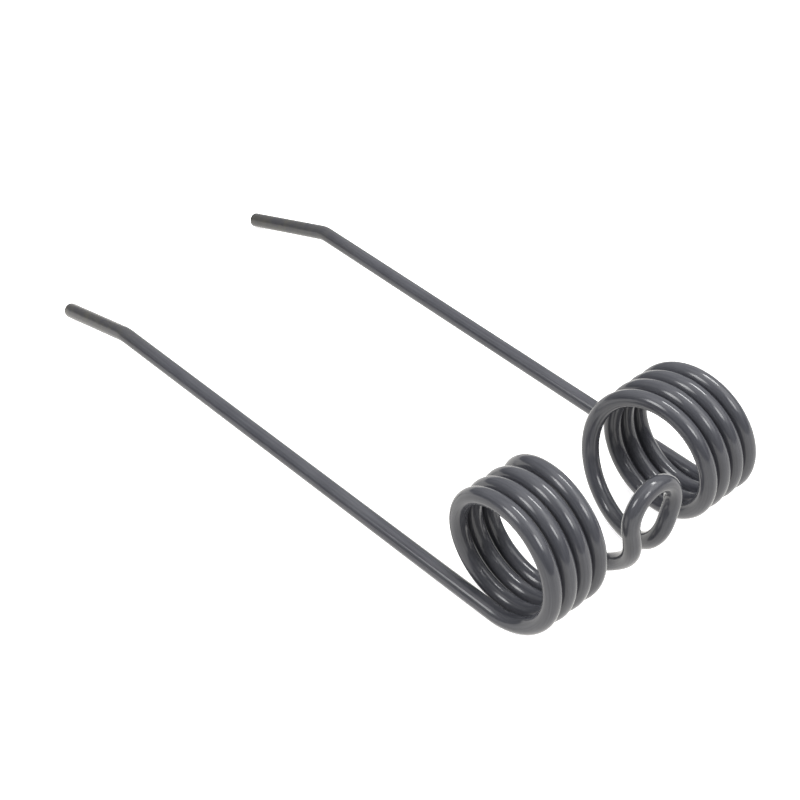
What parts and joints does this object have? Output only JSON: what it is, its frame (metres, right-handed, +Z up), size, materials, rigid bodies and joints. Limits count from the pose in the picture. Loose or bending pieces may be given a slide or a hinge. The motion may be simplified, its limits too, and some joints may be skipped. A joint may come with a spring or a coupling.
{
  "type": "baler pick-up tine",
  "caption": "Double spring tine of bent wire for a baler pick-up: two coils that sit on a tine bar, a central bolt eye and two straight legs with bent tips.",
  "frame": {"origin": "middle of the coil axis, which is the axis of the tine bar", "axes": "+Y along the coil axis, +Z up as the tine lies, -X along the legs, +X towards the side where the bolt eye stands"},
  "size_m": [0.2511, 0.0984, 0.046],
  "materials": {
    "painted_spring_wire": "dark grey gloss powder coat on round spring steel wire"
  },
  "bodies": {
    "root": {"tine_wire": "painted_spring_wire"}
  },
  "joints": []
}
